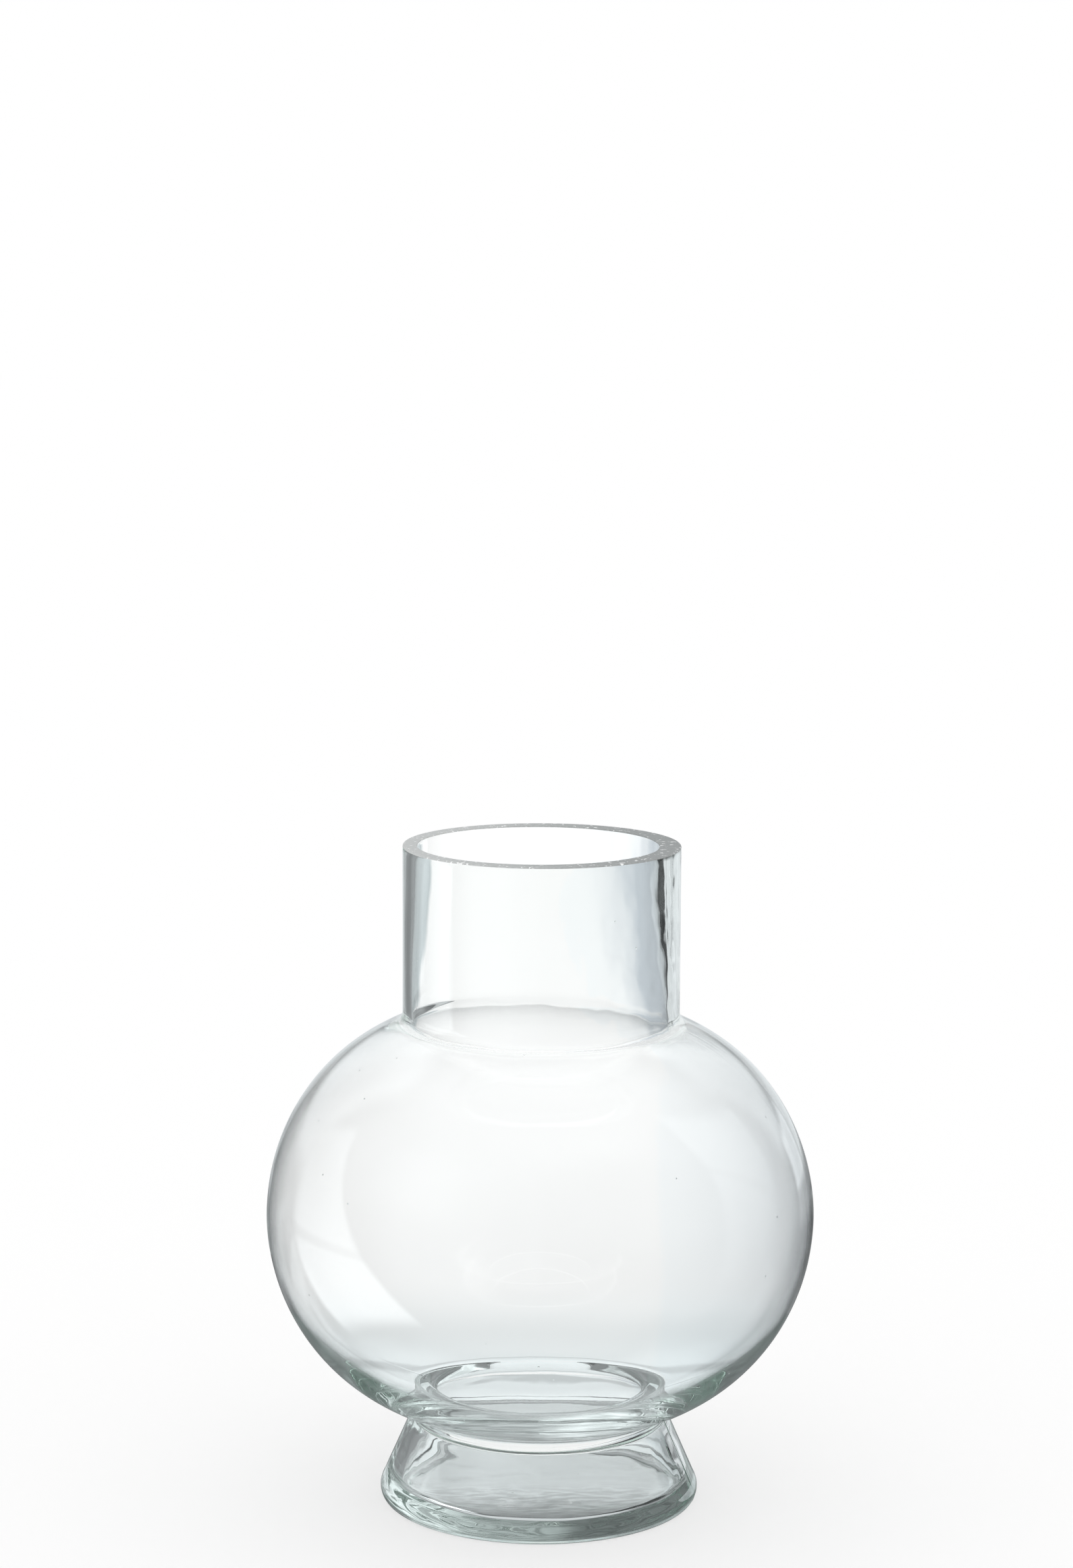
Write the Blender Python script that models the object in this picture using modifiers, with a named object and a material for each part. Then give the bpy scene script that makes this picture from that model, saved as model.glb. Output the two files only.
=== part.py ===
"""A footed ball vase of clear glass, in metres, +Z up, standing on its base with the origin under its middle.

The real vase is blown in one piece. Its four plain forms are kept apart here, each a turned solid: the ground
neck, the squashed ball, the flared foot and the thick base. They meet face to face on flat rings, where the
glass runs on without a joint.
"""

import math

import bpy

# Neck: a straight tube, cut flat and ground at the top
RIM_HEIGHT = 0.2430
NECK_RADIUS = 0.0504
NECK_BORE_RADIUS = 0.0440
RIM_CHAMFER = 0.0005

# Bowl: a squashed ball, |r / radius| ** width power + |z / half height| ** height power = 1
BOWL_RADIUS = 0.1000
BOWL_HALF_HEIGHT = 0.0785
BOWL_CENTRE_HEIGHT = 0.1070
BOWL_WIDTH_POWER = 2.59
BOWL_HEIGHT_POWER = 1.96

# The bowl's wall is blown thin at its middle and stays thick at both ends
BOWL_WALL = 0.0010
NECK_END_WALL = 0.0055
THROAT_END_WALL = 0.0045
WALL_GROWTH_POWER = 4.0

# Where the neck and the foot run into the bowl
NECK_FILLET = 0.0030
THROAT_FILLET = 0.0030
INNER_ROUNDING = 0.0020
THROAT_BORE_RADIUS = 0.0415

# Foot: a flared wall that would meet the ball at its top radius
FOOT_TOP_RADIUS = 0.0458
FOOT_BOTTOM_RADIUS = 0.0576
FOOT_WALL = 0.0040

# Base: a solid disc whose heel bulges past the foot, and whose underside stands on a ring
BASE_THICKNESS = 0.0070
HEEL_BULGE = 0.0009
HEEL_BULGE_HEIGHT = 0.0040
HEEL_ROUNDING = 0.0025
STANDING_RING_WIDTH = 0.0080
UNDERSIDE_RECESS = 0.0008
UNDERSIDE_SLOPE_RUN = 0.0030

# Fineness of the turned solids
SEGMENTS = 72
BALL_STEPS = 12
FILLET_STEPS = 4
HEEL_STEPS = 4
MERGE_DISTANCE = 0.00001
SHARP_ANGLE = math.radians(35)

# How the roundings are found: from this share of the way to a corner, by halving, on slopes over this angle
SEARCH_START = 0.3
HALVINGS = 60
SLOPE_ANGLE = 0.0001

GLASS_IOR = 1.5

COLLECTION_NAME = "footed_ball_vase"


def ball_outside(angle):
    """The point (r, z) of the bowl's outer side at this angle above its middle."""
    across = BOWL_RADIUS * math.cos(angle) ** (2 / BOWL_WIDTH_POWER)
    rise = BOWL_HALF_HEIGHT * abs(math.sin(angle)) ** (2 / BOWL_HEIGHT_POWER)
    return across, BOWL_CENTRE_HEIGHT + math.copysign(rise, angle)


def ball_normal(angle):
    """The outward direction of the bowl's outer side at this angle."""
    across, height = ball_outside(angle)
    rise = height - BOWL_CENTRE_HEIGHT
    out = BOWL_WIDTH_POWER / BOWL_RADIUS * (across / BOWL_RADIUS) ** (BOWL_WIDTH_POWER - 1)
    up = BOWL_HEIGHT_POWER / BOWL_HALF_HEIGHT * (abs(rise) / BOWL_HALF_HEIGHT) ** (BOWL_HEIGHT_POWER - 1)
    length = math.hypot(out, up)
    return out / length, math.copysign(up / length, rise)


def angle_at_radius(radius):
    """How far above or below its middle the bowl's outer side has this radius."""
    return math.acos((radius / BOWL_RADIUS) ** (BOWL_WIDTH_POWER / 2))


def wall_at(angle):
    """The bowl's wall at this angle: thin at its middle, thick where the neck and the foot start."""
    if angle > 0:
        end, full = angle_at_radius(NECK_RADIUS), NECK_END_WALL
    else:
        end, full = angle_at_radius(FOOT_TOP_RADIUS), THROAT_END_WALL
    return BOWL_WALL + (full - BOWL_WALL) * abs(angle / end) ** WALL_GROWTH_POWER


def ball_inside(angle):
    """The point (r, z) of the bowl's inner side, one wall inwards from its outer side."""
    across, height = ball_outside(angle)
    out, up = ball_normal(angle)
    wall = wall_at(angle)
    return across - wall * out, height - wall * up


def direction_out(curve, angle):
    """The direction square to a ball curve, away from its middle."""
    r_above, z_above = curve(angle + SLOPE_ANGLE)
    r_below, z_below = curve(angle - SLOPE_ANGLE)
    length = math.hypot(r_above - r_below, z_above - z_below)
    return (z_above - z_below) / length, (r_below - r_above) / length


def rounding(curve, corner, distance, radius):
    """The angle on a ball curve and the centre of the circle that touches it there and also touches a
    straight side, which meets the curve at the corner angle. distance tells how far a point lies outside it."""

    def centre(angle):
        r, z = curve(angle)
        out, up = direction_out(curve, angle)
        return r + radius * out, z + radius * up

    low, high = SEARCH_START * corner, corner
    beyond = distance(centre(low)) > radius
    for _ in range(HALVINGS):
        middle = (low + high) / 2
        if (distance(centre(middle)) > radius) == beyond:
            low = middle
        else:
            high = middle
    return low, centre(low)


def arc(centre, radius, start, end, steps):
    """Points on a circle from one direction to another, both in radians from +r towards +z."""
    points = []
    for step in range(steps + 1):
        angle = start + (end - start) * step / steps
        points.append((centre[0] + radius * math.cos(angle), centre[1] + radius * math.sin(angle)))
    return points


def ball_run(curve, start, end):
    """Points along a ball curve through its widest ring, without the run's two ends."""
    points = [curve(start * (1 - step / BALL_STEPS)) for step in range(1, BALL_STEPS)]
    points.append(curve(0.0))
    points += [curve(end * step / BALL_STEPS) for step in range(1, BALL_STEPS)]
    return points


def from_side(radius):
    """A measure of how far a point lies outside a straight upright side of this radius."""
    return lambda point: point[0] - radius


def foot_side():
    """The foot's sharp top point and the direction that its outer side faces."""
    top = ball_outside(-angle_at_radius(FOOT_TOP_RADIUS))
    run = FOOT_BOTTOM_RADIUS - top[0]
    drop = top[1] - BASE_THICKNESS
    length = math.hypot(run, drop)
    return top, (drop / length, run / length)


def neck_junction():
    """The outer rounding between neck and bowl: its angle on the ball and its centre."""
    level = angle_at_radius(NECK_RADIUS)
    return rounding(ball_outside, level, from_side(NECK_RADIUS), NECK_FILLET)


def throat_junction():
    """The outer rounding between bowl and foot: its angle on the ball and its centre."""
    level = -angle_at_radius(FOOT_TOP_RADIUS)
    top, out = foot_side()

    def from_foot(point):
        return (point[0] - top[0]) * out[0] + (point[1] - top[1]) * out[1]

    return rounding(ball_outside, level, from_foot, THROAT_FILLET)


def turned_solid(name, profile, closed, material):
    """A profile turned about the Z axis. It runs down the outer side first, so that its faces point out."""
    mesh = bpy.data.meshes.new(name)
    edges = [(index, index + 1) for index in range(len(profile) - 1)]
    if closed:
        edges.append((len(profile) - 1, 0))
    mesh.from_pydata([(r, 0.0, z) for r, z in profile], edges, [])
    solid = bpy.data.objects.new(name, mesh)
    bpy.data.collections[COLLECTION_NAME].objects.link(solid)
    screw = solid.modifiers.new("turn", "SCREW")
    screw.steps = SEGMENTS
    screw.render_steps = SEGMENTS
    screw.use_merge_vertices = True
    screw.merge_threshold = MERGE_DISTANCE
    graph = bpy.context.evaluated_depsgraph_get()
    turned = bpy.data.meshes.new_from_object(solid.evaluated_get(graph))
    solid.modifiers.clear()
    solid.data = turned
    bpy.data.meshes.remove(mesh)
    turned.name = name
    turned.materials.append(material)
    turned.shade_smooth()
    turned.set_sharp_from_angle(angle=SHARP_ANGLE)
    return solid


def glass(name, colour, roughness):
    """A clear glass with the tint that its thickness shows."""
    material = bpy.data.materials.new(name)
    material.use_nodes = True
    shader = material.node_tree.nodes["Principled BSDF"]
    shader.inputs["Base Color"].default_value = (*colour, 1.0)
    shader.inputs["Roughness"].default_value = roughness
    shader.inputs["Metallic"].default_value = 0.0
    shader.inputs["IOR"].default_value = GLASS_IOR
    shader.inputs["Transmission Weight"].default_value = 1.0
    return material


def make_neck():
    _, fillet_centre = neck_junction()
    joint = fillet_centre[1]
    profile = [
        (NECK_BORE_RADIUS + RIM_CHAMFER, RIM_HEIGHT),
        (NECK_RADIUS - RIM_CHAMFER, RIM_HEIGHT),
        (NECK_RADIUS, RIM_HEIGHT - RIM_CHAMFER),
        (NECK_RADIUS, joint),
        (NECK_BORE_RADIUS, joint),
        (NECK_BORE_RADIUS, RIM_HEIGHT - RIM_CHAMFER),
    ]
    return turned_solid("neck", profile, True, glass("ground_neck_glass", (0.90, 0.93, 0.93), 0.05))


def bowl_outer_side():
    """From the neck's joint down over the ball to the narrowest ring of the throat."""
    top_angle, top_centre = neck_junction()
    end_angle, end_centre = throat_junction()
    out, up = direction_out(ball_outside, top_angle)
    points = arc(top_centre, NECK_FILLET, math.pi, math.pi + math.atan2(up, out), FILLET_STEPS)
    points += ball_run(ball_outside, top_angle, end_angle)
    out, up = direction_out(ball_outside, end_angle)
    points += arc(end_centre, THROAT_FILLET, math.pi + math.atan2(up, out), math.pi, FILLET_STEPS)
    return points


def bowl_inner_side():
    """From the throat's joint up inside the ball to the neck's joint."""
    _, throat_centre = throat_junction()
    _, neck_centre = neck_junction()
    low_corner = -angle_at_radius(THROAT_BORE_RADIUS)
    high_corner = angle_at_radius(NECK_BORE_RADIUS)
    low, low_centre = rounding(ball_inside, low_corner, from_side(THROAT_BORE_RADIUS), INNER_ROUNDING)
    high, high_centre = rounding(ball_inside, high_corner, from_side(NECK_BORE_RADIUS), INNER_ROUNDING)
    points = [(THROAT_BORE_RADIUS, throat_centre[1])]
    out, up = direction_out(ball_inside, low)
    points += arc(low_centre, INNER_ROUNDING, math.pi, math.pi + math.atan2(up, out), FILLET_STEPS)
    points += ball_run(ball_inside, low, high)
    out, up = direction_out(ball_inside, high)
    points += arc(high_centre, INNER_ROUNDING, math.pi + math.atan2(up, out), math.pi, FILLET_STEPS)
    points.append((NECK_BORE_RADIUS, neck_centre[1]))
    return points


def make_bowl():
    profile = bowl_outer_side() + bowl_inner_side()
    return turned_solid("bowl", profile, True, glass("bowl_glass", (0.95, 0.97, 0.97), 0.01))


def make_foot():
    _, centre = throat_junction()
    _, (out, up) = foot_side()
    profile = arc(centre, THROAT_FILLET, math.pi, math.pi + math.atan2(up, out), FILLET_STEPS)
    profile.append((FOOT_BOTTOM_RADIUS, BASE_THICKNESS))
    profile.append((FOOT_BOTTOM_RADIUS - FOOT_WALL / out, BASE_THICKNESS))
    profile.append((THROAT_BORE_RADIUS, centre[1]))
    return turned_solid("foot", profile, True, glass("foot_glass", (0.82, 0.87, 0.86), 0.02))


def heel_profile():
    """The heel from the crease under the foot, out over its bulge and in to the standing ring."""
    bulge_radius = FOOT_BOTTOM_RADIUS + HEEL_BULGE
    points = []
    for step in range(HEEL_STEPS):
        rise = 1 - step / HEEL_STEPS
        height = HEEL_BULGE_HEIGHT + rise * (BASE_THICKNESS - HEEL_BULGE_HEIGHT)
        points.append((bulge_radius - HEEL_BULGE * rise**2, height))
    for step in range(HEEL_STEPS + 1):
        angle = math.pi / 2 * step / HEEL_STEPS
        inwards = HEEL_ROUNDING * (1 - math.cos(angle))
        points.append((bulge_radius - inwards, HEEL_BULGE_HEIGHT * (1 - math.sin(angle))))
    return points


def make_base():
    heel = heel_profile()
    ring_inner = heel[-1][0] - STANDING_RING_WIDTH
    underside = [
        (ring_inner, 0.0),
        (ring_inner - UNDERSIDE_SLOPE_RUN, UNDERSIDE_RECESS),
        (0.0, UNDERSIDE_RECESS),
    ]
    profile = [(0.0, BASE_THICKNESS)] + heel + underside
    return turned_solid("base", profile, False, glass("base_glass", (0.78, 0.84, 0.82), 0.02))


def clear_scene():
    for thing in list(bpy.data.objects):
        bpy.data.objects.remove(thing, do_unlink=True)


def main():
    clear_scene()
    collection = bpy.data.collections.new(COLLECTION_NAME)
    bpy.context.scene.collection.children.link(collection)
    axis = bpy.data.objects.new("vase_axis", None)
    collection.objects.link(axis)
    for solid in (make_neck(), make_bowl(), make_foot(), make_base()):
        solid.parent = axis


main()
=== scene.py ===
"""Looks of the footed ball vase: one clear blown vessel on a pale floor in studio light. Metres, +Z up."""

import math

import bmesh
import bpy
from mathutils import Matrix, Vector, noise


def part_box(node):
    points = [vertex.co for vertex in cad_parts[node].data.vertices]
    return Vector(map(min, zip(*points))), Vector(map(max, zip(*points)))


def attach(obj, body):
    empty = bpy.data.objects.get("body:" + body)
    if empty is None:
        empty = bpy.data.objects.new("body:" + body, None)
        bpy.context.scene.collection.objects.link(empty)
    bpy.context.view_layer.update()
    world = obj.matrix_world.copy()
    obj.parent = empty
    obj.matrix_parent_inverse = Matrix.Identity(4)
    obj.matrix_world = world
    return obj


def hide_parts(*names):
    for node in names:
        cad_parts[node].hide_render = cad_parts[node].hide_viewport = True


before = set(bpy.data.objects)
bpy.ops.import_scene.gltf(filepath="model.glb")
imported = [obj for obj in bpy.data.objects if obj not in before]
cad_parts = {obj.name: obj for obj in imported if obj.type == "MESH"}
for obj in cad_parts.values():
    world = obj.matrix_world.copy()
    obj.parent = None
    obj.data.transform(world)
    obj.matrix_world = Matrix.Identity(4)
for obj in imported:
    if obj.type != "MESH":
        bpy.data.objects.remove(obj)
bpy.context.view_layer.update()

# Main sizes, read from the frame's solids
RIM_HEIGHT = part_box("neck")[1].z
NECK_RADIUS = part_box("neck")[1].x
BOWL_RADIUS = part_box("bowl")[1].x
FOOT_BOTTOM_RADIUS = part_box("foot")[1].x
BASE_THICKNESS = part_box("foot")[0].z
HEEL_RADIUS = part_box("base")[1].x

# Bowl: a squashed ball, |r / radius| ** width power + |z / half height| ** height power = 1
BOWL_HALF_HEIGHT = 0.0785
BOWL_CENTRE_HEIGHT = 0.1070
BOWL_WIDTH_POWER = 2.59
BOWL_HEIGHT_POWER = 1.96
BOWL_WALL = 0.0010
NECK_END_WALL = 0.0024
NECK_END_GROWTH = (0.45, 1.1)
THROAT_END_WALL = 0.0036
THROAT_END_GROWTH = (0.32, 0.95)

# Neck: its wall grows from the bowl up to the rim, more so on its right
NECK_LOW_WALL = 0.0037
THICK_SIDE_GROWTH = 0.0042
THICK_SIDE_RANGE = (0.1600, 0.2350)
THIN_SIDE_GROWTH = 0.0016
THIN_SIDE_RANGE = (0.1800, 0.2430)
RIM_ROUNDING = 0.0005
NECK_FILLET = 0.0050
NECK_ROLL = 0.0045
NECK_ROLL_HEIGHT = 0.1790

# Throat, foot and base
THROAT_FILLET = 0.0030
THROAT_BORE_RADIUS = 0.0390
THROAT_LIP = 0.0042
LIP_TURN = math.radians(74)
LIP_ROUNDING = 0.0010
FOOT_TOP_RADIUS = 0.0458
FOOT_WALL = 0.0050
FLOOR_HEIGHT = 0.0055
HEEL_BULGE_HEIGHT = 0.0040
HEEL_ROUNDING = 0.0025
STANDING_RING_WIDTH = 0.0080
STANDING_RING_EDGE = 0.0005
UNDERSIDE_RECESS = 0.0008
UNDERSIDE_SLOPE_RUN = 0.0030
FLOOR_ROUNDING = 0.0030

# Inner side as blowing left it. A part is where it begins and is full in height, or its middle and spread.
# Waves and grain have a depth, then a size and a place in the noise. On the neck they deepen to its right.
# The foot's hollow lies a little to the right, and the foot's wall is a little thicker
NECK_PART = (0.168, 0.182)
NECK_WAVE_DEPTH = (0.00012, 0.00008)
NECK_WAVES = (0.012, 3.1)
NECK_WAVE_STRETCH = 2
NECK_GRAIN_DEPTH = (0.00003, 0.00003)
NECK_GRAIN = (0.004, 8.7)
CREASE_PART = (0.1765, 0.0045)
CREASE_WAVE_DEPTH = 0.0005
CREASE_WAVES = (0.02, 5.3)
BALL_TOP = (0.176, 0.160)
BALL_BOTTOM = (0.034, 0.048)
BALL_WAVE_DEPTH = 0.00008
BALL_WAVES = (0.045, 7.7)
THROAT_PART = (0.034, 0.006)
THROAT_WAVE_DEPTH = 0.00025
THROAT_WAVES = (0.016, 2.2)
FOOT_PART = (0.032, 0.024)
FOOT_LEAN = 0.0009
FOOT_THICKER = 0.0003
FOOT_WAVE_DEPTH = 0.0002
FOOT_WAVES = (0.012, 4.4)
FOOT_GRAIN_DEPTH = 0.00005
FOOT_GRAIN = (0.004, 6.1)
FLOOR_PART = (0.010, 0.007)
FLOOR_WAVE_DEPTH = 0.00018
FLOOR_WAVES = (0.009, 9.9)
FLOOR_GRAIN_DEPTH = 0.00004
FLOOR_GRAIN = (0.004, 0.4)
FLOOR_GRAIN_STRETCH = 3

# Outer side: faint waves above the standing ring, and the mould's two seams, which fade out on the ball
OUTER_PART = (0.002, 0.006)
OUTER_WAVE_DEPTH = 0.00004
OUTER_WAVES = (0.014, 6.6)
SEAM_AZIMUTH = math.radians(-13)
SEAM_WIDTH = 0.0005
SEAM_HEIGHT = 0.00016
NECK_SEAM_HEIGHT = 0.00004
SEAMLESS_TOP = (0.176, 0.168)
SEAMLESS_BOTTOM = (0.036, 0.044)
SEAM_RIM_END = 0.002
SEAM_HEEL_END = 0.003

# Fineness of the vessel's mesh, and how its points and faces are told apart
BALL_STEPS = 38
NECK_STEPS = 30
FOOT_STEPS = 14
FLOOR_STEPS = 14
ARC_STEPS = 8
RIM_STEPS = 4
PLAIN_STEPS = 112
SEAM_STEPS = 16
SEAM_SPAN = math.radians(7)
MERGE_DISTANCE = 0.000001
AXIS_RADIUS = 0.0001
SHARP_ANGLE = math.radians(50)
RIM_LEAST_RISE = 0.1

# Search for the roundings: where it begins, as a share of the corner's angle, and how fine it gets
SEARCH_START = 0.3
HALVINGS = 60
SLOPE_ANGLE = 0.0001

# Glass: what one metre of its body takes from the light is the density times what the body's colour lacks
GLASS_BODY = (0.55, 0.75, 0.66, 1.0)
GLASS_DENSITY = 4.0
GLASS_SURFACE = (0.995, 1.0, 0.998, 1.0)
GLASS_BENDING = 1.5

# Surface of the glass: faint waves and a few seeds, sizes per metre and depths in metres
SEED_SPACING = 60.0
SEED_EDGE = (0.008, 0.024)
SEED_DEPTH = 0.00015
WAVE_GRAIN = 110.0
WAVE_DEPTH = 0.00001

# Ground rim: painted light on the left and painted shade on the right, finely grained, with small bright
# chips. It has a painted glow only as seen from inside the wall
RIM_LIT_LEFT = (0.60, 0.615, 0.61, 1.0)
RIM_SHADED_RIGHT = (0.33, 0.345, 0.345, 1.0)
RIM_CHIP = (0.95, 0.96, 0.96, 1.0)
RIM_ROUGHNESS = 0.45
RIM_GRAIN = 1300.0
CHIP_GRAIN = 620.0
CHIP_EDGE = (0.62, 0.68)
GRAIN_DEPTH = 0.00006
RIM_DARK = (0.0, 0.0, 0.0, 1.0)
RIM_PAINTED_GLOW = (0.80, 0.75, 0.78, 1.0)

# Camera: as the photograph was taken
CAMERA_DISTANCE = 1.3151
CAMERA_HEIGHT = 0.4554
CAMERA_SIDE = -0.0021
CAMERA_PITCH = math.radians(8.235)
CAMERA_ROLL = math.radians(0.28)
CAMERA_LENS = 84.64
FILM_SIDE = 36.0

LIGHT_BOUNCES = 96


def smooth_step(low, high, value):
    """Rises smoothly from 0 to 1 between two values, or falls where the first is the larger one."""
    share = min(1.0, max(0.0, (value - low) / (high - low)))
    return share * share * (3 - 2 * share)


def ball_outside(angle):
    """The point (r, z) of the bowl's outer side at this angle above its middle."""
    across = BOWL_RADIUS * math.cos(angle) ** (2 / BOWL_WIDTH_POWER)
    rise = BOWL_HALF_HEIGHT * abs(math.sin(angle)) ** (2 / BOWL_HEIGHT_POWER)
    return across, BOWL_CENTRE_HEIGHT + math.copysign(rise, angle)


def ball_normal(angle):
    """The outward direction of the bowl's outer side at this angle."""
    across, height = ball_outside(angle)
    rise = height - BOWL_CENTRE_HEIGHT
    out = BOWL_WIDTH_POWER / BOWL_RADIUS * (across / BOWL_RADIUS) ** (BOWL_WIDTH_POWER - 1)
    up = BOWL_HEIGHT_POWER / BOWL_HALF_HEIGHT * (abs(rise) / BOWL_HALF_HEIGHT) ** (BOWL_HEIGHT_POWER - 1)
    length = math.hypot(out, up)
    return out / length, math.copysign(up / length, rise)


def angle_at_radius(radius):
    """How far above or below its middle the bowl's outer side has this radius."""
    return math.acos((radius / BOWL_RADIUS) ** (BOWL_WIDTH_POWER / 2))


def ball_inside(angle):
    """The point (r, z) of the bowl's inner side: its wall is thin at its middle and thick at both ends."""
    if angle > 0:
        end, full, growth = angle_at_radius(NECK_RADIUS), NECK_END_WALL, NECK_END_GROWTH
    else:
        end, full, growth = angle_at_radius(FOOT_TOP_RADIUS), THROAT_END_WALL, THROAT_END_GROWTH
    wall = BOWL_WALL + (full - BOWL_WALL) * smooth_step(*growth, abs(angle / end))
    across, height = ball_outside(angle)
    out, up = ball_normal(angle)
    return across - wall * out, height - wall * up


def direction_out(curve, angle):
    """The direction square to a ball curve, away from its middle."""
    r_above, z_above = curve(angle + SLOPE_ANGLE)
    r_below, z_below = curve(angle - SLOPE_ANGLE)
    length = math.hypot(r_above - r_below, z_above - z_below)
    return (z_above - z_below) / length, (r_below - r_above) / length


def rounding(curve, corner, distance, radius):
    """The angle on a ball curve and the centre of the circle that touches it there and a straight side too,
    which meets the curve at the corner angle. distance tells how far a point lies outside that side."""

    def centre(angle):
        r, z = curve(angle)
        out, up = direction_out(curve, angle)
        return r + radius * out, z + radius * up

    low, high = SEARCH_START * corner, corner
    beyond = distance(centre(low)) > radius
    for _ in range(HALVINGS):
        middle = (low + high) / 2
        if (distance(centre(middle)) > radius) == beyond:
            low = middle
        else:
            high = middle
    return low, centre(low)


def arc(centre, radius, start, end, steps=ARC_STEPS):
    """Points on a circle from one direction to another, both in radians from +r towards +z."""
    points = []
    for step in range(steps + 1):
        angle = start + (end - start) * step / steps
        points.append((centre[0] + radius * math.cos(angle), centre[1] + radius * math.sin(angle)))
    return points


def line(start, end, steps):
    """Points from one place to another, without both ends."""
    return [
        (start[0] + (end[0] - start[0]) * step / steps, start[1] + (end[1] - start[1]) * step / steps)
        for step in range(1, steps)
    ]


def rounded_corner(before, corner, after, radius):
    """The arc that replaces the corner between two straight runs."""
    a = Vector(before) - Vector(corner)
    b = Vector(after) - Vector(corner)
    a.normalize()
    b.normalize()
    half = a.angle(b) / 2
    reach = radius / math.tan(half)
    centre = Vector(corner) + (a + b).normalized() * (radius / math.sin(half))
    first = Vector(corner) + a * reach - centre
    last = Vector(corner) + b * reach - centre
    turn = first.angle_signed(last)
    start = math.atan2(first.y, first.x)
    return arc(centre, radius, start, start - turn)


def ball_run(curve, start, end):
    """Points along a ball curve from one angle to another, without both ends."""
    steps = 2 * BALL_STEPS
    return [curve(start + (end - start) * step / steps) for step in range(1, steps)]


def foot_side():
    """The foot's sharp top point and the direction that its outer side faces."""
    top = ball_outside(-angle_at_radius(FOOT_TOP_RADIUS))
    run = FOOT_BOTTOM_RADIUS - top[0]
    drop = top[1] - BASE_THICKNESS
    length = math.hypot(run, drop)
    return top, (drop / length, run / length)


def outer_side():
    """From the middle of the underside out over the heel, up the foot, the ball and the neck to the rim."""
    ring_outer = HEEL_RADIUS - HEEL_ROUNDING
    ring_inner = ring_outer - STANDING_RING_WIDTH
    slope_top = (ring_inner - UNDERSIDE_SLOPE_RUN, UNDERSIDE_RECESS)
    points = [(0.0, UNDERSIDE_RECESS)]
    points += line(points[0], slope_top, FLOOR_STEPS)
    points += [slope_top, (ring_inner, 0.0), (ring_outer - STANDING_RING_EDGE, 0.0)]
    for step in range(ARC_STEPS + 1):
        angle = math.pi / 2 * step / ARC_STEPS
        out = ring_outer + HEEL_ROUNDING * math.sin(angle)
        points.append((out, HEEL_BULGE_HEIGHT * (1 - math.cos(angle))))
    bulge = HEEL_RADIUS - FOOT_BOTTOM_RADIUS
    for step in range(1, ARC_STEPS):
        rise = step / ARC_STEPS
        height = HEEL_BULGE_HEIGHT + rise * (BASE_THICKNESS - HEEL_BULGE_HEIGHT)
        points.append((HEEL_RADIUS - bulge * rise**2, height))
    top, (out, up) = foot_side()

    def from_foot(point):
        return (point[0] - top[0]) * out + (point[1] - top[1]) * up

    low, low_centre = rounding(ball_outside, -angle_at_radius(FOOT_TOP_RADIUS), from_foot, THROAT_FILLET)
    high, high_centre = rounding(
        ball_outside, angle_at_radius(NECK_RADIUS), lambda point: point[0] - NECK_RADIUS, NECK_FILLET
    )
    ball_out, ball_up = direction_out(ball_outside, low)
    throat = arc(
        low_centre, THROAT_FILLET, math.pi + math.atan2(up, out), math.pi + math.atan2(ball_up, ball_out)
    )
    foot_end = (FOOT_BOTTOM_RADIUS, BASE_THICKNESS)
    points.append(foot_end)
    points += line(foot_end, throat[0], FOOT_STEPS)
    points += throat
    points += ball_run(ball_outside, low, high)
    ball_out, ball_up = direction_out(ball_outside, high)
    points += arc(high_centre, NECK_FILLET, math.pi + math.atan2(ball_up, ball_out), math.pi)
    rim_start = (NECK_RADIUS, RIM_HEIGHT - RIM_ROUNDING)
    points += line(points[-1], rim_start, NECK_STEPS)
    points += arc((NECK_RADIUS - RIM_ROUNDING, rim_start[1]), RIM_ROUNDING, 0.0, math.pi / 2, RIM_STEPS)
    return points


def neck_wall(height, side):
    """The neck's wall at this height: side runs from -1 on its left to 1 on its right."""
    thick = THICK_SIDE_GROWTH * smooth_step(*THICK_SIDE_RANGE, height)
    thin = THIN_SIDE_GROWTH * smooth_step(*THIN_SIDE_RANGE, height)
    return NECK_LOW_WALL + (thick + thin) / 2 + side * (thick - thin) / 2


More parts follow.
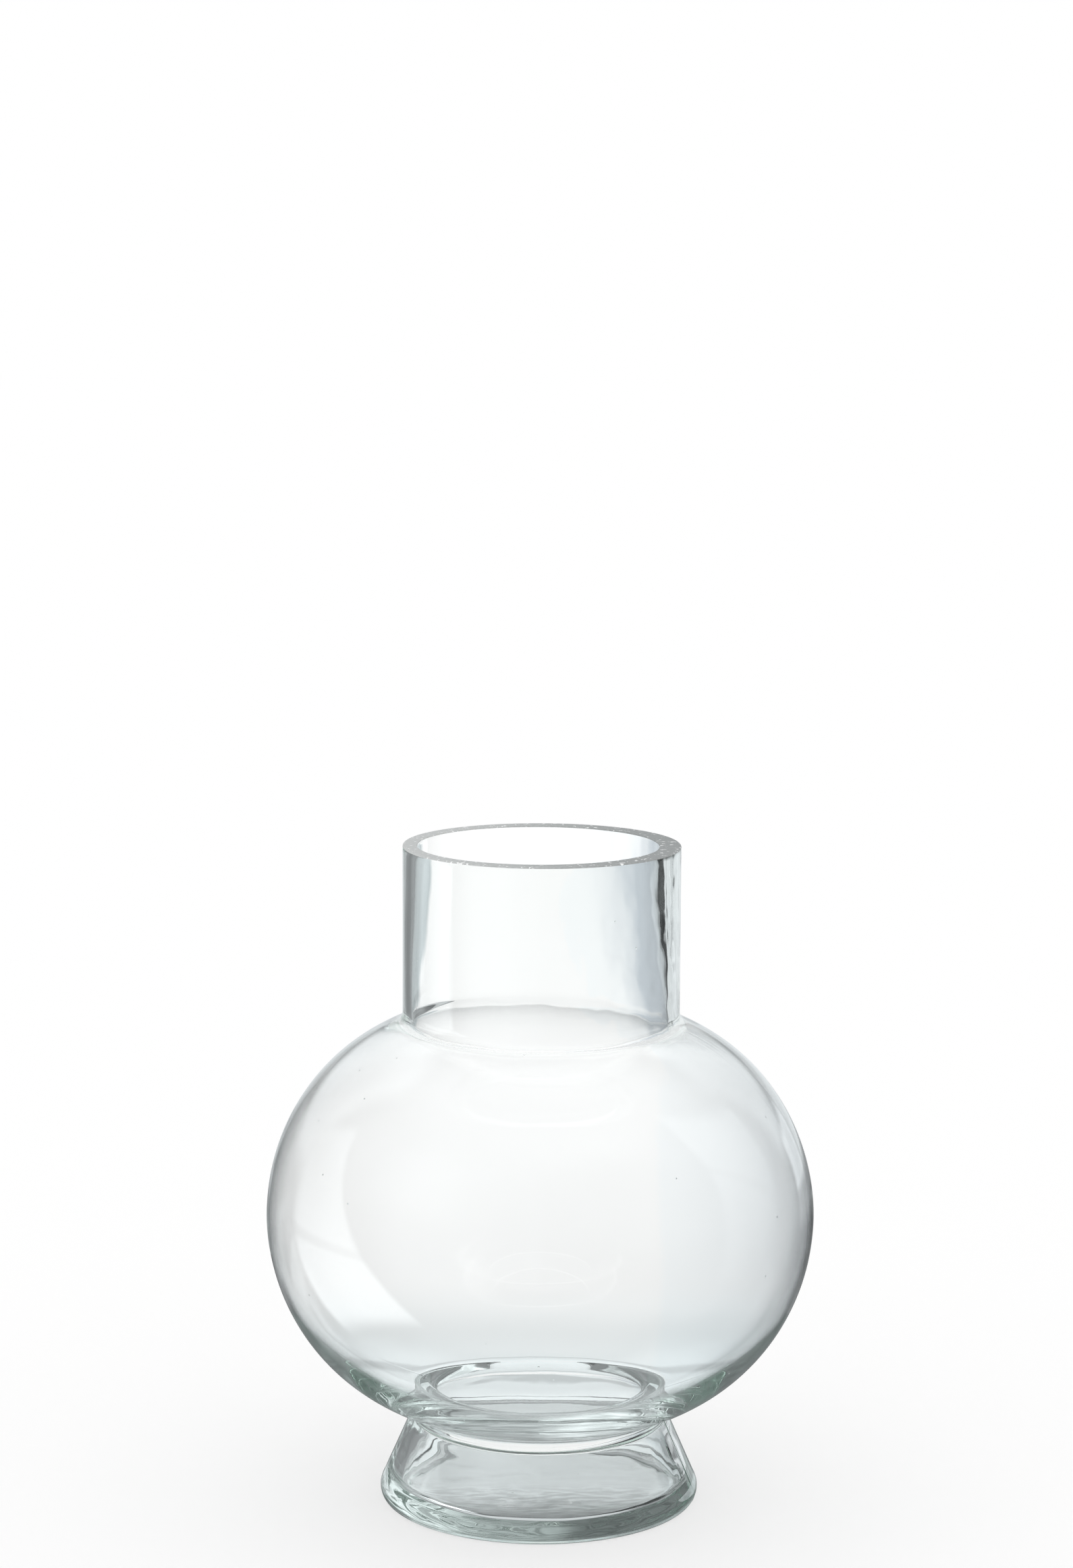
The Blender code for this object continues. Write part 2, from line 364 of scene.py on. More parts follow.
def inner_side():
    """From the rim down the bore, round inside the ball, through throat and foot to the floor's middle."""
    rim_bore = NECK_RADIUS - neck_wall(RIM_HEIGHT, 0)
    rim_centre = (rim_bore + RIM_ROUNDING, RIM_HEIGHT - RIM_ROUNDING)
    points = arc(rim_centre, RIM_ROUNDING, math.pi / 2, math.pi, RIM_STEPS)
    low_bore = NECK_RADIUS - neck_wall(NECK_ROLL_HEIGHT, 0)
    high, high_centre = rounding(
        ball_inside, angle_at_radius(low_bore), lambda point: point[0] - low_bore, NECK_ROLL
    )
    ball_out, ball_up = direction_out(ball_inside, high)
    roll = arc(high_centre, NECK_ROLL, math.pi, math.pi + math.atan2(ball_up, ball_out), 2 * ARC_STEPS)
    for step in range(1, NECK_STEPS):
        height = points[0][1] + (roll[0][1] - points[0][1]) * step / NECK_STEPS
        points.append((NECK_RADIUS - neck_wall(height, 0), height))
    points += roll
    corner = -angle_at_radius(THROAT_BORE_RADIUS)
    low, low_centre = rounding(
        ball_inside, corner, lambda point: point[0] - THROAT_BORE_RADIUS, THROAT_LIP
    )
    points += ball_run(ball_inside, high, low)
    ball_out, ball_up = direction_out(ball_inside, low)
    ball_turn = math.pi + math.atan2(ball_up, ball_out)
    lip = arc(low_centre, THROAT_LIP, ball_turn, math.pi + LIP_TURN, 3 * ARC_STEPS)
    points += lip
    top, (out, up) = foot_side()
    along = Vector((math.sin(LIP_TURN), -math.cos(LIP_TURN)))
    short = -FOOT_WALL - ((lip[-1][0] - top[0]) * out + (lip[-1][1] - top[1]) * up)
    under_lip = Vector(lip[-1]) + along * (short / (along.x * out + along.y * up))
    drop = under_lip.y - FLOOR_HEIGHT
    floor_corner = (under_lip.x + drop * up / out, FLOOR_HEIGHT)
    ceiling = rounded_corner(lip[-1], under_lip, floor_corner, LIP_ROUNDING)
    points += ceiling[1:]
    turn = rounded_corner(under_lip, floor_corner, (0.0, FLOOR_HEIGHT), FLOOR_ROUNDING)
    points += line(ceiling[-1], turn[0], FOOT_STEPS)
    points += turn
    points += line(turn[-1], (0.0, FLOOR_HEIGHT), FLOOR_STEPS)
    points.append((0.0, FLOOR_HEIGHT))
    return points


def turned_vessel():
    """The closed wall of the vase, spun from its profile, finer where the mould's two seams run."""
    bm = bmesh.new()
    inside = bm.verts.layers.float.new("inside")
    outer, inner = outer_side(), inner_side()
    start = SEAM_AZIMUTH - SEAM_SPAN / 2
    verts = []
    for r, z in outer + inner:
        vert = bm.verts.new((r * math.cos(start), r * math.sin(start), z))
        vert[inside] = 1.0 if len(verts) >= len(outer) else 0.0
        verts.append(vert)
    edges = [bm.edges.new(pair) for pair in zip(verts, verts[1:])]
    ring = verts + edges
    for span, steps in ((SEAM_SPAN, SEAM_STEPS), (math.pi - SEAM_SPAN, PLAIN_STEPS)) * 2:
        spun = bmesh.ops.spin(
            bm, geom=ring, cent=(0, 0, 0), axis=(0, 0, 1), angle=span, steps=steps, use_merge=False
        )
        ring = spun["geom_last"]
    bmesh.ops.remove_doubles(bm, verts=bm.verts, dist=MERGE_DISTANCE)
    bmesh.ops.recalc_face_normals(bm, faces=bm.faces)
    return bm, inside


def ripple(point, size, shift):
    """A smooth random value near -1 to 1 that changes over about this size."""
    return noise.noise(point / size + Vector((shift, shift, shift)))


def bell(value, middle, spread):
    """1 at the middle, falling smoothly to 0 over the spread on both sides."""
    return math.exp(-(((value - middle) / spread) ** 2))


def inner_shift(place, side):
    """How far the inner side lies out and up from its turned place: side runs from -1 on the left to 1."""
    out = up = 0.0
    z = place.z
    neck = smooth_step(*NECK_PART, z)
    if neck > 0:
        out -= neck * side * (neck_wall(z, 1) - neck_wall(z, -1)) / 2
        middle, growth = NECK_WAVE_DEPTH
        stretched = Vector((place.x, place.y, z / NECK_WAVE_STRETCH))
        out += neck * (middle + growth * side) * ripple(stretched, *NECK_WAVES)
        middle, growth = NECK_GRAIN_DEPTH
        out += neck * (middle + growth * side) * ripple(place, *NECK_GRAIN)
    level = Vector((place.x, place.y, 0))
    up += bell(z, *CREASE_PART) * CREASE_WAVE_DEPTH * ripple(level, *CREASE_WAVES)
    ball = smooth_step(*BALL_TOP, z) * smooth_step(*BALL_BOTTOM, z)
    out += ball * BALL_WAVE_DEPTH * ripple(place, *BALL_WAVES)
    out += bell(z, *THROAT_PART) * THROAT_WAVE_DEPTH * ripple(place, *THROAT_WAVES)
    foot = smooth_step(*FOOT_PART, z)
    out += foot * (FOOT_LEAN * side - FOOT_THICKER + FOOT_WAVE_DEPTH * ripple(place, *FOOT_WAVES))
    out += foot * FOOT_GRAIN_DEPTH * ripple(place, *FOOT_GRAIN)
    floor = smooth_step(*FLOOR_PART, z)
    up += floor * FLOOR_WAVE_DEPTH * ripple(place, *FLOOR_WAVES)
    stretched = Vector((place.x / FLOOR_GRAIN_STRETCH, place.y, z))
    up += floor * FLOOR_GRAIN_DEPTH * ripple(stretched, *FLOOR_GRAIN)
    return out, up


def outer_shift(place, angle, r):
    """How far the outer side lies out from its turned place: faint waves and the mould's two seams."""
    z = place.z
    out = OUTER_WAVE_DEPTH * (ripple(place, *OUTER_WAVES) - 1) * smooth_step(*OUTER_PART, z)
    turn = math.remainder(angle - SEAM_AZIMUTH, math.pi)
    ridge = bell(turn * r, 0.0, SEAM_WIDTH)
    ball = smooth_step(*SEAMLESS_TOP, z) * smooth_step(*SEAMLESS_BOTTOM, z)
    top = smooth_step(RIM_HEIGHT, RIM_HEIGHT - SEAM_RIM_END, z)
    height = SEAM_HEIGHT if z < BOWL_CENTRE_HEIGHT else NECK_SEAM_HEIGHT
    return out + ridge * height * (1 - ball) * top * smooth_step(0.0, SEAM_HEEL_END, z)


def shape_by_hand(bm, inside):
    """Moves the turned vessel's points as blowing and pressing left them."""
    for vert in bm.verts:
        place = vert.co.copy()
        r = math.hypot(place.x, place.y)
        if r < AXIS_RADIUS:
            continue
        angle = math.atan2(place.y, place.x)
        up = 0.0
        if vert[inside] > 0.5:
            out, up = inner_shift(place, place.x / r)
        else:
            out = outer_shift(place, angle, r)
        vert.co = ((r + out) * math.cos(angle), (r + out) * math.sin(angle), place.z + up)


def mark_rim(bm):
    """Gives the ground faces on top of the neck the second material."""
    for face in bm.faces:
        if face.calc_center_median().z > RIM_HEIGHT - RIM_ROUNDING and abs(face.normal.z) > RIM_LEAST_RISE:
            face.material_index = 1


def make_vessel():
    """The vase as one piece of glass with two materials."""
    bm, inside = turned_vessel()
    shape_by_hand(bm, inside)
    bm.normal_update()
    mark_rim(bm)
    mesh = bpy.data.meshes.new("blown_vessel")
    bm.to_mesh(mesh)
    bm.free()
    mesh.shade_smooth()
    mesh.set_sharp_from_angle(angle=SHARP_ANGLE)
    vessel = bpy.data.objects.new("blown_vessel", mesh)
    bpy.context.scene.collection.objects.link(vessel)
    mesh.materials.append(clear_glass())
    mesh.materials.append(ground_glass())
    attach(vessel, "root")
    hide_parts("neck", "bowl", "foot", "base")


def clear_glass():
    """The body's glass: clear, with faint waves and seeds, and grey-green where it is thick."""
    material = bpy.data.materials.new("clear_glass")
    material.use_nodes = True
    tree = material.node_tree
    shader = tree.nodes["Principled BSDF"]
    shader.inputs["Base Color"].default_value = GLASS_SURFACE
    shader.inputs["Roughness"].default_value = 0.0
    shader.inputs["IOR"].default_value = GLASS_BENDING
    shader.inputs["Transmission Weight"].default_value = 1.0
    place = tree.nodes.new("ShaderNodeTexCoord").outputs["Object"]
    seeds = tree.nodes.new("ShaderNodeTexVoronoi")
    seeds.inputs["Scale"].default_value = SEED_SPACING
    tree.links.new(place, seeds.inputs["Vector"])
    pits = math_node(tree, "MULTIPLY", ramp(tree, seeds.outputs["Distance"], *SEED_EDGE), SEED_DEPTH)
    waves = math_node(tree, "MULTIPLY", noise_value(tree, place, WAVE_GRAIN, 2.0), WAVE_DEPTH)
    bump = tree.nodes.new("ShaderNodeBump")
    bump.inputs["Distance"].default_value = 1.0
    tree.links.new(math_node(tree, "ADD", pits, waves), bump.inputs["Height"])
    tree.links.new(bump.outputs["Normal"], shader.inputs["Normal"])
    body = tree.nodes.new("ShaderNodeVolumeAbsorption")
    body.inputs["Color"].default_value = GLASS_BODY
    body.inputs["Density"].default_value = GLASS_DENSITY
    tree.links.new(body.outputs[0], tree.nodes["Material Output"].inputs["Volume"])
    return material


def ground_glass():
    """Matt from outside. From inside it has a painted glow, which stands for the light on it that passes into
    the wall.
    """
    material = bpy.data.materials.new("ground_glass")
    material.use_nodes = True
    tree = material.node_tree
    shader = tree.nodes["Principled BSDF"]
    shader.inputs["Roughness"].default_value = RIM_ROUGHNESS
    shader.inputs["IOR"].default_value = GLASS_BENDING
    place = tree.nodes.new("ShaderNodeTexCoord").outputs["Object"]
    # Painted light and shade: paler on the left, darker on the right; the grain added to it is the rim's own
    across = ramp(tree, parts_of(tree, place)["X"], -NECK_RADIUS, NECK_RADIUS)
    grain = noise_value(tree, place, RIM_GRAIN, 2.0)
    shade_and_grain = math_node(tree, "ADD", across, math_node(tree, "SUBTRACT", grain, 0.5))
    colour = mixed_colour(tree, shade_and_grain, RIM_LIT_LEFT, RIM_SHADED_RIGHT)
    chips = ramp(tree, noise_value(tree, place, CHIP_GRAIN, 2.0), *CHIP_EDGE)
    tree.links.new(mixed_colour(tree, chips, colour, RIM_CHIP), shader.inputs["Base Color"])
    # Painted glow: an emission on the faces seen from inside the wall, black from outside
    from_inside = tree.nodes.new("ShaderNodeNewGeometry").outputs["Backfacing"]
    tree.links.new(mixed_colour(tree, from_inside, RIM_DARK, RIM_PAINTED_GLOW), shader.inputs["Emission Color"])
    shader.inputs["Emission Strength"].default_value = 1.0
    bump = tree.nodes.new("ShaderNodeBump")
    bump.inputs["Distance"].default_value = GRAIN_DEPTH
    tree.links.new(grain, bump.inputs["Height"])
    tree.links.new(bump.outputs["Normal"], shader.inputs["Normal"])
    return material


def feed(tree, socket, value):
    """Gives a socket its value, from another socket or as a plain one."""
    if isinstance(value, bpy.types.NodeSocket):
        tree.links.new(value, socket)
    else:
        socket.default_value = value


def math_node(tree, operation, first, second=0.0):
    """One sum in a node tree, from sockets or plain numbers."""
    node = tree.nodes.new("ShaderNodeMath")
    node.operation = operation
    feed(tree, node.inputs[0], first)
    feed(tree, node.inputs[1], second)
    return node.outputs[0]


def vector_node(tree, operation, first, second):
    """One sum of two vectors, or of a vector and a number where the operation is SCALE."""
    node = tree.nodes.new("ShaderNodeVectorMath")
    node.operation = operation
    feed(tree, node.inputs[0], first)
    feed(tree, node.inputs["Scale"] if operation == "SCALE" else node.inputs[1], second)
    return node.outputs["Vector"]


def parts_of(tree, vector):
    """The vector's X, Y and Z."""
    node = tree.nodes.new("ShaderNodeSeparateXYZ")
    tree.links.new(vector, node.inputs[0])
    return node.outputs


def ramp(tree, value, low, high):
    """Rises smoothly from 0 to 1 between two values."""
    node = tree.nodes.new("ShaderNodeMapRange")
    node.interpolation_type = "SMOOTHSTEP"
    tree.links.new(value, node.inputs["Value"])
    node.inputs["From Min"].default_value = low
    node.inputs["From Max"].default_value = high
    return node.outputs["Result"]


def noise_value(tree, vector, scale, detail=1.0):
    """A smooth random value near 0.5 that changes over about one scale-th of the vector's unit."""
    node = tree.nodes.new("ShaderNodeTexNoise")
    node.inputs["Scale"].default_value = scale
    node.inputs["Detail"].default_value = detail
    tree.links.new(vector, node.inputs["Vector"])
    return node.outputs[0]


def stepped(tree, value, start, steps):
    """A level that changes from its start by each step's amount, between two values."""
    level = start
    for low, high, rise in steps:
        change = math_node(tree, "MULTIPLY", ramp(tree, value, low, high), rise)
        level = math_node(tree, "ADD", change, level)
    return level


def window(tree, value, low, high, softness):
    """1 between two values and 0 outside them, with soft edges."""
    rise = ramp(tree, value, low - softness, low + softness)
    fall = ramp(tree, value, high - softness, high + softness)
    return math_node(tree, "SUBTRACT", rise, fall)


# The studio round the vase as its reflections see it: each panel's azimuth from the back, + to the right, and
# elevation, in degrees, then the softness of both, and the brightness
STUDIO_GREY = 0.04
PANELS = (
    ((-200, 200), (50, 120), (5, 12), 0.38),
    ((-160, -112), (-24, 48), (14, 10), 0.48),
    ((-140, -98), (14, 42), (10, 8), 0.20),
    ((-200, -160), (-15, 50), (14, 12), 0.25),
    ((160, 200), (-10, 50), (14, 12), 0.12),
    ((-57, -30), (4, 50), (5, 4), 0.62),
    ((-30, -12), (8, 45), (5, 4), 0.95),
    ((-12, 12), (4, 50), (4, 4), 0.40),
    ((12, 30), (8, 45), (5, 4), 0.85),
    ((30, 47), (4, 40), (5, 4), 0.50),
    ((-57, -36), (-22, 4), (3, 4), 0.28),
    ((-36, -19), (-13, 4), (3, 2), 0.20),
    ((-19, -14), (-13, 4), (2, 2), 0.45),
    ((-14, 5), (-13, 4), (3, 2), 0.70),
    ((5, 26), (-13, 4), (4, 2), 0.80),
    ((26, 41), (-13, 4), (2, 2), 0.85),
    ((-36, 39), (-22, -13), (4, 2), 0.20),
    ((-57, -30), (-44, -22), (5, 4), 0.50),
    ((-30, 30), (-44, -22), (5, 4), 0.20),
    ((30, 50), (-44, -22), (5, 4), 0.38),
    ((-200, 200), (-50, -44), (5, 4), 0.30),
    ((-200, 200), (-120, -50), (5, 4), 0.65),
)
STUDIO_TINT = (0.95, 1.0, 1.02)

# The floor, of which this share is matt and the rest glows, and the place on it, near the vase's right, with
# painted shade that takes this much from reflected light
FLOOR_RADIUS = 12.0
FLOOR_SIDES = 64
FLOOR_MATT = 0.45
SHADED_TABLE_SIDE = (0.10, 0.25)
SHADED_TABLE_END = (0.65, 1.0)
SHADED_TABLE_LOSS = 0.65

# The lit table and wall on the left: its span in azimuth and elevation, and slanted edges, each a slope, an
# offset and a softness. It fades upwards, gains towards the front and has a dim bar across
WINDOW_ACROSS = (-150, -57, 4)
WINDOW_RISE = (-38, 60, 4)
WINDOW_FRONT = (1.37, 128.0, 3.0)
WINDOW_TOP = (-0.736, -21.6, 3.0)
WINDOW_CORNER = (1.7, 80.0, 5.0)
WINDOW_LIGHT = 1.35
WINDOW_FADE_RISE = (-25, 14)
WINDOW_FADE = 0.85
WINDOW_SIDE = (-62, -98)
WINDOW_SIDE_GAIN = 0.45
WINDOW_BAR = (-12.4, -9.2, 1.0)
WINDOW_BAR_LOSS = 0.35

# Light that ran far inside the glass: its brightness from above and from below with its steps in azimuth, the
# elevations between which it changes, after how many reflections it counts, and its mottling's scale, darkest
# level and rise
INNER_ABOVE = 0.18
INNER_ABOVE_STEPS = ((-9, -1, 0.24), (17, 25, 0.55), (50, 75, -0.72))
INNER_BELOW = 0.62
INNER_BELOW_STEPS = ((3, 15, 0.48),)
INNER_CHANGE = (-38, -28)
INNER_REFLECTIONS = 3.5
INNER_MOTTLING = (5.2, 0.75, 0.50)
MOTTLE_EDGES = (0.35, 0.65)

# Light that the vase's far wall sends back is weaker: it crossed the near wall both ways, so more than this
# many surfaces. Light from behind the vase keeps its strength. The weakening ends and begins between these
# values of its direction's Y
NEAR_WALL_SURFACES = 3.5
FAR_WALL_SHARE = 0.35
FROM_BEHIND = (0.80, 0.55)


def below_line(tree, azimuth, elevation, slope, offset, softness):
    """1 where the elevation lies under a line of this slope against the azimuth."""
    edge = math_node(tree, "ADD", math_node(tree, "MULTIPLY", azimuth, slope), offset)
    return ramp(tree, math_node(tree, "SUBTRACT", edge, elevation), -softness, softness)


def studio_group():
    """What the vase's surfaces reflect from each direction."""
    group = bpy.data.node_groups.new("studio_light", "ShaderNodeTree")
    group.interface.new_socket("Direction", in_out="INPUT", socket_type="NodeSocketVector")
    group.interface.new_socket("Light", in_out="OUTPUT", socket_type="NodeSocketColor")
    group.interface.new_socket("Inner Light", in_out="OUTPUT", socket_type="NodeSocketColor")
    start = group.nodes.new("NodeGroupInput")
    end = group.nodes.new("NodeGroupOutput")
    parts = parts_of(group, start.outputs["Direction"])
    azimuth = math_node(group, "DEGREES", math_node(group, "ARCTAN2", parts["X"], parts["Y"]))
    elevation = math_node(group, "DEGREES", math_node(group, "ARCSINE", parts["Z"]))
    total = STUDIO_GREY
    for (left, right), (low, high), (side_softness, rise_softness), strength in PANELS:
        across = window(group, azimuth, left, right, side_softness)
        up = window(group, elevation, low, high, rise_softness)
        panel = math_node(group, "MULTIPLY", across, up)
        total = math_node(group, "ADD", math_node(group, "MULTIPLY", panel, strength), total)
    across = window(group, azimuth, *WINDOW_ACROSS)
    lit = math_node(group, "MULTIPLY", across, window(group, elevation, *WINDOW_RISE))
    for edge in (WINDOW_FRONT, WINDOW_TOP):
        lit = math_node(group, "MULTIPLY", lit, below_line(group, azimuth, elevation, *edge))
    corner = math_node(group, "SUBTRACT", 1.0, below_line(group, azimuth, elevation, *WINDOW_CORNER))
    lit = math_node(group, "MULTIPLY", lit, corner)
    fading = math_node(group, "MULTIPLY", ramp(group, elevation, *WINDOW_FADE_RISE), WINDOW_FADE)
    gain = math_node(group, "MULTIPLY", ramp(group, azimuth, *WINDOW_SIDE), WINDOW_SIDE_GAIN)
    strength = math_node(group, "ADD", math_node(group, "SUBTRACT", WINDOW_LIGHT, fading), gain)
    lit = math_node(group, "MULTIPLY", lit, strength)
    bar = math_node(group, "MULTIPLY", window(group, elevation, *WINDOW_BAR), WINDOW_BAR_LOSS)
    lit = math_node(group, "MULTIPLY", lit, math_node(group, "SUBTRACT", 1.0, bar))
    total = math_node(group, "ADD", total, lit)
    group.links.new(vector_node(group, "SCALE", STUDIO_TINT, total), end.inputs["Light"])
    upward = ramp(group, elevation, *INNER_CHANGE)
    above = math_node(group, "MULTIPLY", stepped(group, azimuth, INNER_ABOVE, INNER_ABOVE_STEPS), upward)
    below = stepped(group, azimuth, INNER_BELOW, INNER_BELOW_STEPS)
    below = math_node(group, "MULTIPLY", below, math_node(group, "SUBTRACT", 1.0, upward))
    inner = math_node(group, "ADD", above, below)
    scale, darkest, rise = INNER_MOTTLING
    mottling = ramp(group, noise_value(group, start.outputs["Direction"], scale), *MOTTLE_EDGES)
    mottling = math_node(group, "ADD", math_node(group, "MULTIPLY", mottling, rise), darkest)
    inner = math_node(group, "MULTIPLY", inner, mottling)
    group.links.new(vector_node(group, "SCALE", STUDIO_TINT, inner), end.inputs["Inner Light"])
    return group


# The table behind the vase as seen through the glass: its level in front of the vase, then where it begins
# and ends to brighten, metres behind the vase's axis, and by how much. These levels are painted light and
# shade: low in front of the vase and under its base, a painted bright band just behind the base, then a dip
TABLE_FRONT = 0.32
TABLE_STEPS = (
    (-0.052, 0.0, 0.82),
    (0.045, 0.062, 0.12),
    (0.060, 0.098, -0.28),
    (0.165, 0.215, 0.085),
    (0.240, 0.600, 0.075),
    (0.600, 1.400, 0.03),
)

# On the table: the vase's shade, which is a ring round its axis with a softness, and painted mottles of light
# and shade under its base
SHADE_RING = (0.111, 0.1275, 0.005)
SHADE_RING_LOSS = 0.30
BASE_LIGHT_MOTTLES = (-0.045, -0.006, 0.008)
BASE_LIGHT_MOTTLE_GRAIN = (130, 450, 1)
BASE_LIGHT_MOTTLE_DEPTH = 0.36

# The sheet behind: its sides in degrees from the camera, its shades of colour by azimuth, which lie further
# left on its far part, and the colour of the near table
NEAR_TABLE = (CAMERA_DISTANCE + 0.26, CAMERA_DISTANCE + 0.10)
NEAR_TABLE_LOSS = (0.055, 0.0, -0.015)
SHEET_SIDES = (-19, 25, 4)
SHEET_FAR = (CAMERA_DISTANCE + 0.7, CAMERA_DISTANCE + 2.0)
SHEET_FAR_SHIFT = -1.2
SHEET_RIGHT = (1.6, 8.2)
SHEET_RIGHT_LOSS = (0.36, 0.33, 0.29)
SHEET_EDGE = (1.95, 2.15)
SHEET_EDGE_LOSS = (0.035, 0.015, 0.005)
SHEET_END = (14.5, 17.0)
SHEET_END_LOSS = (-0.18, -0.19, -0.19)
SHEET_LEFT = (-6.3, -7.6)
SHEET_LEFT_LOSS = (0.50, 0.44, 0.42)
SHEET_TOP = (50, 80)
SHEET_TOP_LOSS = 0.55
BESIDE_SHEET = 0.25
SKY_DISTANCE = 100.0


def backdrop_group():
    """What is seen through the glass at each place, taken from the point of the floor under the camera."""
    group = bpy.data.node_groups.new("backdrop", "ShaderNodeTree")
    group.interface.new_socket("Place", in_out="INPUT", socket_type="NodeSocketVector")
    group.interface.new_socket("Light", in_out="OUTPUT", socket_type="NodeSocketColor")
    start = group.nodes.new("NodeGroupInput")
    end = group.nodes.new("NodeGroupOutput")
    parts = parts_of(group, start.outputs["Place"])
    azimuth = math_node(group, "DEGREES", math_node(group, "ARCTAN2", parts["X"], parts["Y"]))
    steps = [(CAMERA_DISTANCE + near, CAMERA_DISTANCE + far, rise) for near, far, rise in TABLE_STEPS]
    level = stepped(group, parts["Y"], TABLE_FRONT, steps)
    from_vase = vector_node(group, "SUBTRACT", start.outputs["Place"], (-CAMERA_SIDE, CAMERA_DISTANCE, 0))
    reach = group.nodes.new("ShaderNodeVectorMath")
    reach.operation = "LENGTH"
    group.links.new(from_vase, reach.inputs[0])
    ring = math_node(group, "MULTIPLY", window(group, reach.outputs["Value"], *SHADE_RING), SHADE_RING_LOSS)
    level = math_node(group, "MULTIPLY", level, math_node(group, "SUBTRACT", 1.0, ring))
    # Painted light and shade: mottles on the table under the vase's base
    grain = vector_node(group, "MULTIPLY", from_vase, BASE_LIGHT_MOTTLE_GRAIN)
    mottling = ramp(group, noise_value(group, grain, 1.0, 2.0), *MOTTLE_EDGES)
    low, high, softness = BASE_LIGHT_MOTTLES
    base = window(group, parts["Y"], CAMERA_DISTANCE + low, CAMERA_DISTANCE + high, softness)
    mottling = math_node(group, "MULTIPLY", math_node(group, "SUBTRACT", mottling, 0.5), base)
    mottling = math_node(group, "MULTIPLY", mottling, BASE_LIGHT_MOTTLE_DEPTH)
    level = math_node(group, "MULTIPLY", level, math_node(group, "ADD", mottling, 1.0))
    above = math_node(group, "MULTIPLY", ramp(group, parts["Z"], *SHEET_TOP), SHEET_TOP_LOSS)
    level = math_node(group, "MULTIPLY", level, math_node(group, "SUBTRACT", 1.0, above))
    sheet = math_node(group, "MULTIPLY", window(group, azimuth, *SHEET_SIDES), 1 - BESIDE_SHEET)
    level = math_node(group, "MULTIPLY", level, math_node(group, "ADD", sheet, BESIDE_SHEET))
    shift = math_node(group, "MULTIPLY", ramp(group, parts["Y"], *SHEET_FAR), SHEET_FAR_SHIFT)
    colour = (1, 1, 1)
    for value, edges, amount in (
        (math_node(group, "ADD", azimuth, shift), SHEET_RIGHT, SHEET_RIGHT_LOSS),
        (azimuth, SHEET_EDGE, SHEET_EDGE_LOSS),
        (azimuth, SHEET_END, SHEET_END_LOSS),
        (azimuth, SHEET_LEFT, SHEET_LEFT_LOSS),
        (parts["Y"], NEAR_TABLE, NEAR_TABLE_LOSS),
    ):
        loss = vector_node(group, "SCALE", amount, ramp(group, value, *edges))
        colour = vector_node(group, "SUBTRACT", colour, loss)
    group.links.new(vector_node(group, "SCALE", colour, level), end.inputs["Light"])
    return group


def group_light(tree, group, vector):
    """The lights of one of the two groups for this vector."""
    node = tree.nodes.new("ShaderNodeGroup")
    node.node_tree = group
    tree.links.new(vector, node.inputs[0])
    return node.outputs


def seen_white(tree):
    """1 for the camera's own rays, for light that only passed through glass, and for light on the floor."""
    path = tree.nodes.new("ShaderNodeLightPath")
    unreflected = math_node(tree, "LESS_THAN", path.outputs["Glossy Depth"], 0.5)
    scattered = math_node(tree, "GREATER_THAN", path.outputs["Diffuse Depth"], 0.5)
    return math_node(tree, "MAXIMUM", unreflected, scattered)


def seen_through(tree):
    """1 for light that passed through glass and met nothing matt."""
    path = tree.nodes.new("ShaderNodeLightPath")
    passed = math_node(tree, "GREATER_THAN", path.outputs["Transmission Depth"], 0.5)
    clear = math_node(tree, "LESS_THAN", path.outputs["Diffuse Depth"], 0.5)
    return math_node(tree, "MULTIPLY", passed, clear)


def mixed_colour(tree, share, first, second):
    """Goes from the first colour to the second as the share goes from 0 to 1."""
    node = tree.nodes.new("ShaderNodeMix")
    node.data_type = "RGBA"
    tree.links.new(share, node.inputs["Factor"])
    feed(tree, node.inputs["A"], first)
    feed(tree, node.inputs["B"], second)
    return node.outputs["Result"]


def make_world(studio, backdrop):
    """White to the camera, the sheet through the glass, and the studio in reflections."""
    world = bpy.data.worlds.new("studio")
    bpy.context.scene.world = world
    world.use_nodes = True
    tree = world.node_tree
    tree.nodes.clear()
    direction = tree.nodes.new("ShaderNodeTexCoord").outputs["Generated"]
    lights = group_light(tree, studio, direction)
    path = tree.nodes.new("ShaderNodeLightPath")
    from_far_wall = math_node(tree, "GREATER_THAN", path.outputs["Transmission Depth"], NEAR_WALL_SURFACES)
    not_behind = ramp(tree, parts_of(tree, direction)["Y"], *FROM_BEHIND)
    from_far_wall = math_node(tree, "MULTIPLY", from_far_wall, not_behind)
    weaker = vector_node(tree, "SCALE", lights["Light"], FAR_WALL_SHARE)
    once = mixed_colour(tree, from_far_wall, lights["Light"], weaker)
    ran_inside = math_node(tree, "GREATER_THAN", path.outputs["Glossy Depth"], INNER_REFLECTIONS)
    reflected = mixed_colour(tree, ran_inside, once, lights["Inner Light"])
    behind = group_light(tree, backdrop, vector_node(tree, "SCALE", direction, SKY_DISTANCE))["Light"]
    plain = mixed_colour(tree, seen_through(tree), (1, 1, 1, 1), behind)
    colour = mixed_colour(tree, seen_white(tree), reflected, plain)
    background = tree.nodes.new("ShaderNodeBackground")
    tree.links.new(colour, background.inputs["Color"])
    output = tree.nodes.new("ShaderNodeOutputWorld")
    tree.links.new(background.outputs[0], output.inputs["Surface"])


